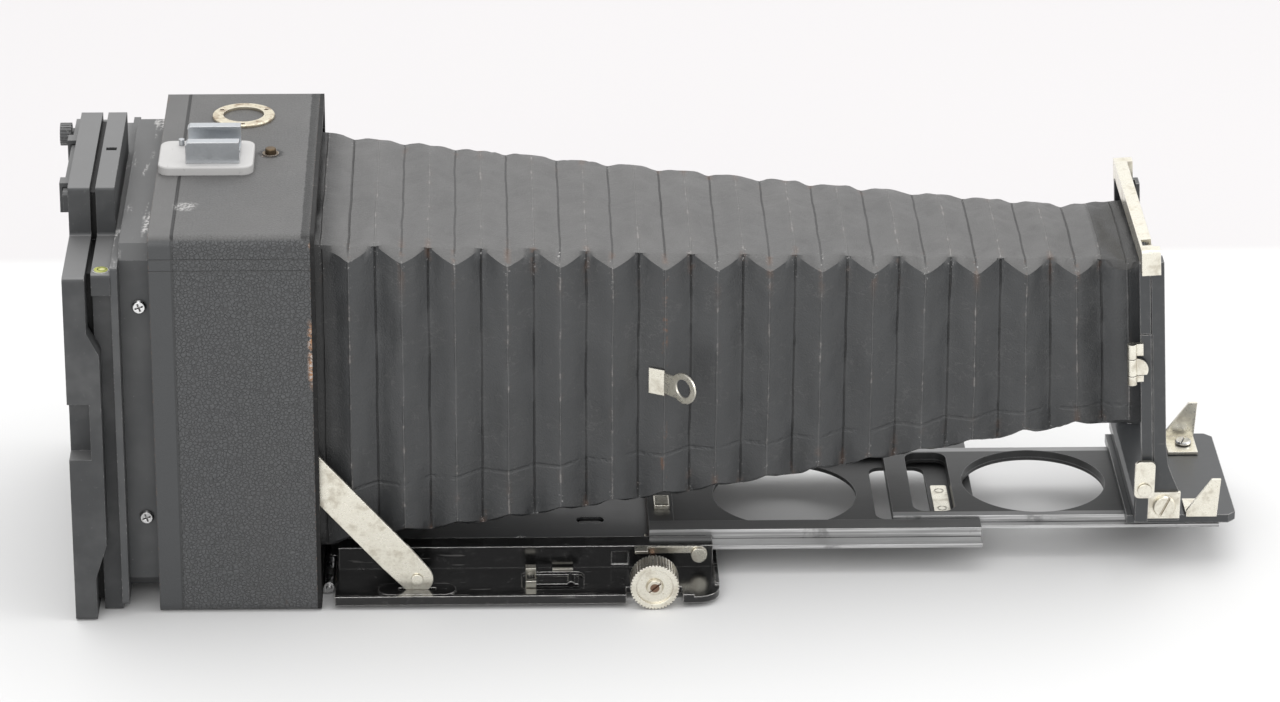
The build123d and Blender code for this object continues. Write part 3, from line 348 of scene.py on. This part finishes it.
blackPaint = lacquer("blackLacquer", grey(0.006), grey(0.62, 0.02), 0.22, shine=0.4)
dullPaint = lacquer("dullLacquer", grey(0.034, -0.06), grey(0.45, 0.02), 0.32, 0.24, coat=0.15)
plateBlack = anodised("anodisedPlate", grey(0.046, -0.03), grey(0.170, 0.0))
frameBlack = anodised("anodisedFrame", grey(0.062, -0.03), grey(0.125), 1.0)
gasketBlack = anodised("gasketBlack", grey(0.008), grey(0.014))
nickel = metal("nickelPlate", (0.82, 0.79, 0.69, 1), (0.34, 0.29, 0.21, 1), 0.24)
ringMetal = metal("wornRing", (0.62, 0.57, 0.45, 1), (0.16, 0.09, 0.05, 1), 0.34, blotch=0.004, stains=0.75)
shoeMetal = metal("satinShoe", grey(0.50, -0.04), grey(0.26, -0.03), 0.30, (1, 0.05, 1), 0.012, 0.35)
steel = metal("brightSteel", grey(0.72), grey(0.06, 0.03), 0.20)
brass = metal("agedBrass", (0.52, 0.36, 0.16, 1), (0.12, 0.07, 0.03, 1), 0.34)
bronze = metal("darkBronze", (0.13, 0.095, 0.06, 1), (0.03, 0.02, 0.015, 1), 0.42)
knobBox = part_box("focus_knob")
screwMetal = metal("shaftScrew", (0.70, 0.66, 0.56, 1), (0.16, 0.12, 0.09, 1), 0.30,
                   core=((knobBox[0] + knobBox[1]) / 2, 0.0019, (0.16, 0.075, 0.042, 1)))
leather = caseLeather()
pale = paleSheet()
spirit = levelSpirit()
woodBlack = lacquer("blackWood", grey(0.006), grey(0.05, 0.1), 0.6, 0.4, coat=0.0, shine=0.25)

dress = {
    leather: ["case_leather"],
    woodBlack: ["case_shell", "front_rim", "bellows_rear_frame"],
    blackPaint: ["bed_plate", "guide_rails", "infinity_flap"],
    dullPaint: ["floor_plate", "standard_frame", "carriage_plate", "lens_panel"],
    track("track_1_sheet", 0.0063, 0.42): ["track_1_sheet"],
    track("track_1_rails", 0.010, 0.075): ["track_1_rails"],
    track("track_2_sheet", 0.0029, 0.42): ["track_2_sheet"],
    track("track_2_plate", 0.0038, 0.26): ["track_2_plate"],
    plateBlack: ["adapter_front", "adapter_rear", "upper_lock", "lower_lock", "lock_keepers"],
    frameBlack: ["rear_frame", "adapter_plate"],
    gasketBlack: ["adapter_gasket"],
    steel: ["frame_screws", "floor_screws", "grip_screws", "strut_pivots", "bed_hinge", "level_cup"],
    nickel: ["bed_fittings", "focus_knob", "focus_lock", "strut_right", "strut_left", "racks",
             "track_1_spring", "near_grip", "far_grip", "foot_clamps", "top_bar", "clamp_posts",
             "clamp_tab", "rise_lever", "lens_flange", "eyelet"],
    shoeMetal: ["accessory_shoe"],
    ringMetal: ["bush_ring"],
    screwMetal: ["pinion_shaft"],
    brass: ["tripod_bush"],
    bronze: ["button_bush", "release_button"],
    pale: ["shoe_base"],
    spirit: ["level_vial"],
}
for finish, names in dress.items():
    for name in names:
        slots = frame["nodes"][name].data.materials
        for number in range(max(1, len(slots))):
            if len(slots):
                slots[number] = finish
            else:
                slots.append(finish)
print("finishes made")


def meshObject(name, points, faces, finish, smooth=True):
    mesh = bpy.data.meshes.new(name)
    mesh.from_pydata(points, [], faces)
    mesh.materials.append(finish)
    made = bpy.data.objects.new(name, mesh)
    bpy.context.scene.collection.objects.link(made)
    for face in mesh.polygons:
        face.use_smooth = smooth
    mesh.update()
    return made


# keeps what the modifiers make as the mesh itself
def settle(piece):
    graph = bpy.context.evaluated_depsgraph_get()
    mesh = bpy.data.meshes.new_from_object(piece.evaluated_get(graph))
    piece.modifiers.clear()
    piece.data = mesh


bellowsLook = {"pitch": 0.020, "steps": 14, "sides": 26, "rise": 0.0014, "spread": 0.0025,
               "cutAcross": (0.0012, 0.0052), "cutDown": (0.0020, 0.0014), "cloth": 0.0007, "sag": 0.0030,
               "drop": 0.010, "collar": 0.0030, "overlap": 0.0115, "ends": (0.012, 0.016), "lean": 0.06,
               "rumple": ((0.0010, 38, 26), (0.0006, 120, 60), (0.0003, 260, 180)),
               "pull": 0.0005, "arch": 0.0016, "puff": 0.0009, "crisp": 0.985, "corner": 0.14}
riseAxis = next(joint["axis"] for joint in record["behaviour"]["joints"] if joint["name"] == "rise_slide")


# the runs' starts as x, half width, lowest z and highest z, then the leaning front end
def bellowsSections():
    sections = []
    for number in range(1, 7):
        low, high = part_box(f"bellows_{number}")
        sections.append((low.x, high.y, low.z, high.z))
    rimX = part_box("front_rim")[1].x
    sections.insert(1, (rimX,) + sections[0][1:])
    low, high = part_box("bellows_6")
    end = high.x + riseAxis[0] / riseAxis[2] * (high.z - low.z) / 2
    first, last = sections[1], sections[-1]
    share = (end - first[0]) / (last[0] - first[0])
    half, low, high = (a + (b - a) * share for a, b in zip(first[1:], last[1:]))
    look = bellowsLook
    sections.append((end, half + look["collar"], low, high + look["collar"] * 0.45))
    sections.append((end + look["overlap"],) + sections[-1][1:])
    length = end - rimX
    return [(x, half, low - look["drop"] * max(0, x - rimX) / length, high)
            for x, half, low, high in sections], end


sections, collarX = bellowsSections()
firstRidge = sections[2][0]


# half width, lowest z and highest z of the mean bellows at x
def bellowsAt(x):
    for first, second in zip(sections, sections[1:]):
        if x <= second[0] + 1e-9:
            share = (x - first[0]) / (second[0] - first[0])
            return [a + (b - a) * share for a, b in zip(first[1:], second[1:])]
    return list(sections[-1][1:])


# -1 where the sides stand out, +1 where the top does, straight between
def fold(x):
    crisp = bellowsLook["crisp"]
    turn = -math.cos(2 * math.pi * (x - firstRidge) / bellowsLook["pitch"])
    return math.asin(crisp * turn) / math.asin(crisp)


# a thin ridge, 0 to 1, along the lines where the noise crosses zero
def crease(place, size, seed):
    value = noise.noise(Vector(place) / size + Vector((seed * 7.3, seed * 1.7, seed * 3.1)))
    return max(0.0, 1 - abs(value) * 7) ** 2


# the cloth's unevenness in three sizes, the largest of them weaker towards the corners
def rumple(x, y, z, middle):
    total = 0.0
    for number, (height, along, across) in enumerate(bellowsLook["rumple"]):
        fade = 0.3 + 0.7 * middle if number == 0 else 1
        total += height * noise.noise(Vector((x * along, y * across, z * across))) * fade
    return total


# the points of one closed ring: folds as fold() gives it, along from 0 to 1 down the bellows
def bellowsRing(x, folds, along):
    look = bellowsLook
    half, low, high = bellowsAt(x)
    rear, front = look["ends"]
    calm = min(1, max(0, (sections[-1][0] - x) / front)) * min(1, max(0.35, (x - sections[1][0]) / rear))
    wide = half - look["spread"] * calm * folds
    rise = look["rise"] * calm * folds
    sag = look["sag"] * math.sin(math.pi * min(1, max(0, along))) ** 1.5
    high, low = high + rise - sag * 0.35, low - rise - sag
    dip = (1 - folds) / 2 * calm
    across = look["cutAcross"][0] + look["cutAcross"][1] * dip
    down = look["cutDown"][0] + look["cutDown"][1] * dip
    count = look["sides"]
    spans = [((-wide, low + down), (-wide, high - down), (-1, 0)),
             ((-wide + across, high), (wide - across, high), (0, 1)),
             ((wide, high - down), (wide, low + down), (1, 0)),
             ((wide - across, low), (-wide + across, low), (0, -1))]
    slope = riseAxis[0] / riseAxis[2] * min(1, max(0, 1 - (collarX - x) / look["lean"]))
    ring = []
    for number, (start, finish, out) in enumerate(spans):
        for step in range(count + 1):
            share = step / count
            y = start[0] + (finish[0] - start[0]) * share
            z = start[1] + (finish[1] - start[1]) * share
            middle = math.sin(math.pi * share)
            pull = look["pull"] * crease((x * 0.5, y, z), 0.012, 2 + number) * (1 - abs(folds))
            arch = look["arch"] * (1 - middle) ** 3 * max(0.0, folds) * calm
            puff = look["puff"] * middle * (1 if out[1] >= 0 else -0.5) * along
            push = rumple(x, y, z, middle) - pull - arch + puff
            y, z = y + out[0] * push, z + out[1] * push
            ring.append((x + slope * (z - (low + high) / 2), y, z))
    return ring


def bellowsRun(number, finish):
    look = bellowsLook
    starts = [section[0] for section in sections]
    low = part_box(f"bellows_{number}")[0].x
    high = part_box(f"bellows_{number + 1}")[0].x if number < 6 else starts[-1]
    first, last = starts[0], starts[-1]
    steps = max(6, round((high - low) / look["pitch"] * look["steps"]))
    points, faces, marks = [], [], []
    size = 4 * (look["sides"] + 1)
    for row in range(steps + 1):
        x = low + (high - low) * row / steps
        folds = fold(x)
        points += bellowsRing(x, folds, (x - first) / (last - first))
        for place in range(size):
            side, share = divmod(place, look["sides"] + 1)
            share = min(share, look["sides"] - share) / look["sides"]
            marks.append((x, side % 2, max(0.0, 1 - share / look["corner"])))
    for row in range(steps):
        for place in range(size):
            after = (place + 1) % size
            a, b = row * size + place, row * size + after
            faces.append((a, a + size, b + size, b))
    piece = meshObject(f"bellows_run_{number}", points, faces, finish)
    for part, name in enumerate(("along", "level", "corner")):
        layer = piece.data.attributes.new(name, "FLOAT", "POINT")
        layer.data.foreach_set("value", [mark[part] for mark in marks])
    wall = piece.modifiers.new("cloth", "SOLIDIFY")
    wall.thickness, wall.offset, wall.use_rim = look["cloth"], -1, number in (1, 6)
    settle(piece)
    piece.data.set_sharp_from_angle(angle=math.radians(40))
    return piece


clothLook = {"tint": grey(0.044, -0.035), "dust": grey(0.078, 0.02), "rub": grey(0.22, 0.02),
             "rust": (0.12, 0.062, 0.035, 1), "deep": grey(0.008), "tuckFoot": 0.042, "tuckClimb": 0.07}


# leathercloth: fine grain, a line along every fold, pale wear and rust where it stands out, a paler top
# from dust and painted top light, and painted shade in the folds that turn in and where it leaves the case
def bellowsCloth():
    look = clothLook
    paint = Paint("bellowsCloth")
    along, level, corner = (paint.node("ShaderNodeAttribute", {"attribute_name": name}, out="Fac")
                            for name in ("along", "level", "corner"))
    wander = paint.noise(0.02, 2, place=paint.stretched(0.3, 1, 1))
    turn = (along - firstRidge + (wander - 0.5) * 0.0011) * (2 / bellowsLook["pitch"])
    nearest = turn.maths("ROUND", turn)
    away = abs(turn - nearest) * (bellowsLook["pitch"] / 2)
    outward = 1 - abs(turn.maths("FLOORED_MODULO", nearest, 2.0) - level)
    cloud = paint.noise(0.045, 3, 0.5)
    line = (1 - away.step(0.00010, 0.00055)) * (0.5 + cloud * 0.9)
    band = 1 - away.step(0.0, 0.0022)
    grain = paint.cells(0.0006, "SMOOTH_F1")
    fine = paint.noise(0.00035, 2)
    patches = paint.noise(0.014, 4, 0.65)
    specks = paint.noise(0.0011, 3, 0.7).step(0.60, 0.70)
    dashes = paint.noise(0.006, 4, 0.7).step(0.52, 0.66)
    ripple = paint.noise(0.006, 3, 0.6, paint.stretched(0.35, 1, 1))
    ripple = ripple + paint.noise(0.0022, 3, 0.6) * 0.25 - 0.125
    wrinkle = 1 - abs(ripple - 0.5).step(0.0, 0.022)
    lines = wrinkle * patches.step(0.46, 0.62)
    shadow = 1 - along.step(sections[1][0], sections[1][0] + 0.012)
    upward = paint.upward()
    # painted top light: upward faces are mixed towards the paler dust tint, partly dust and partly the
    # light that falls on the top
    colour = paint.mix(upward.step(0.1, 0.9) * (0.55 + cloud * 0.7), look["tint"], look["dust"])
    colour = paint.mix(patches.step(0.40, 0.75) * 0.25, colour, grey(0.045, 0.01))
    collar = along.step(collarX - 0.006, collarX - 0.004) * upward.step(0.3, 0.7)
    colour = paint.mix(shadow.over(collar) * 0.85, colour, look["deep"])
    # painted shade: the fold lines that turn inward are darkened to near black
    colour = paint.mix(line * (1 - outward) * 0.75, colour, look["deep"])
    colour = paint.mix(lines * 0.10, colour, look["rub"])
    colour = paint.mix(line * outward * (0.14 + dashes * 0.6), colour, look["rub"])
    tip = corner * band
    colour = paint.mix(tip * specks * 0.75, colour, grey(0.42, 0.02))
    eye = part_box("eyelet")[0].x + 0.006
    seam = (1 - abs(along - eye).step(0.0006, 0.0016)) * (1 - level) * dashes
    stain = (tip * patches.step(0.52, 0.60) * 0.35).over(band * outward * dashes * 0.08).over(seam * 0.8)
    colour = paint.mix(stain, colour, look["rust"])
    rough = 0.43 + (patches - 0.5) * 0.22 + line * 0.12
    tuck = paint.axis("Z") - along * look["tuckClimb"] - look["tuckFoot"] + (wander - 0.5) * 0.003
    tuck = 1 - abs(tuck).step(0.0002, 0.0011)
    height = (1 - grain) * 0.22 + fine * 0.12 + ripple * 0.5 + line * (outward - 0.5) * 0.8
    height = height - tuck * (1 - level) * patches.step(0.40, 0.55) * 0.6
    return paint.finish(colour, rough, paint.bump(height, 0.00050, 0.85), Specular_IOR_Level=0.45)


cloth = bellowsCloth()
crossings = [("case", "bed"), ("bed", "track_1"), ("track_1", "track_2"), ("track_2", "carriage"),
             ("carriage", "standard"), ("standard", "lens_board")]
for number, (behind, ahead) in enumerate(crossings, 1):
    run = bellowsRun(number, cloth)
    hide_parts(f"bellows_{number}")
    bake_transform(run)
print("bellows folded")


floorLook = {"reach": 4.0, "foot": (0.266, 0.278),
             "tint": grey(0.64, 0.002), "wall": (0.550, 0.537, 0.541, 1)}


# a pale table, with the wall behind it as a second tint from its foot onwards
def floorPaint():
    look = floorLook
    paint = Paint("paleFloor")
    wall = (paint.axis("Y") - paint.axis("X") * 0.01).step(*look["foot"])
    cloud = paint.noise(0.35, 2)
    weave = paint.noise(0.004, 3, 0.7)
    line = wall * (1 - wall) * 4
    colour = paint.mix(wall, look["tint"], look["wall"])
    colour = paint.mix(wall * (weave - 0.5) * 0.5 + line * 0.35, colour, grey(0.55, 0.01))
    return paint.finish(colour, 0.75 + cloud * 0.1, paint.bump(cloud, 0.0001, 0.2))


reach = floorLook["reach"]
corners = [(-reach, -reach, 0), (reach, -reach, 0), (reach, reach, 0), (-reach, reach, 0)]
floor = meshObject("floor", corners, [(0, 1, 2, 3)], floorPaint(), False)


def areaLight(name, place, target, size, power):
    data = bpy.data.lights.new(name, "AREA")
    data.shape, data.size, data.energy = "SQUARE", size, power
    lamp = bpy.data.objects.new(name, data)
    bpy.context.scene.collection.objects.link(lamp)
    lamp.location = place
    lamp.rotation_euler = (Vector(target) - Vector(place)).to_track_quat("-Z", "Y").to_euler()


areaLight("topBox", place=(0.1, 0.5, 1.5), target=(0.12, 0, 0.05), size=2.0, power=20)
areaLight("frontFill", place=(-0.4, -1.7, 0.8), target=(0.12, 0, 0.08), size=1.6, power=14)
areaLight("sideFill", place=(1.6, -0.3, 0.8), target=(0.15, 0, 0.08), size=0.9, power=7)
world = bpy.data.worlds.new("paleRoom")
world.use_nodes = True
world.node_tree.nodes["Background"].inputs["Color"].default_value = grey(1.0)
world.node_tree.nodes["Background"].inputs["Strength"].default_value = 1.0
bpy.context.scene.world = world
bpy.context.scene.view_settings.view_transform = "Standard"

view = {"place": (0.09628, -1.83364, 0.89209), "focal": 143.8, "pitch": 24.0, "yaw": 1.84, "roll": 0.35}


def makeCamera():
    data = bpy.data.cameras.new("camera")
    data.lens, data.sensor_width = view["focal"], 36
    camera = bpy.data.objects.new("camera", data)
    bpy.context.scene.collection.objects.link(camera)
    pitch, yaw, roll = (math.radians(view[key]) for key in ("pitch", "yaw", "roll"))
    ahead = Vector((math.sin(yaw) * math.cos(pitch), math.cos(yaw) * math.cos(pitch), -math.sin(pitch)))
    right = ahead.cross(Vector((0, 0, 1))).normalized()
    up = right.cross(ahead)
    turned = right * math.cos(roll) + up * math.sin(roll)
    up = up * math.cos(roll) - right * math.sin(roll)
    turn = Matrix((turned, up, -ahead)).transposed().to_4x4()
    camera.matrix_world = Matrix.Translation(view["place"]) @ turn
    bpy.context.scene.camera = camera


makeCamera()
print("stage set")
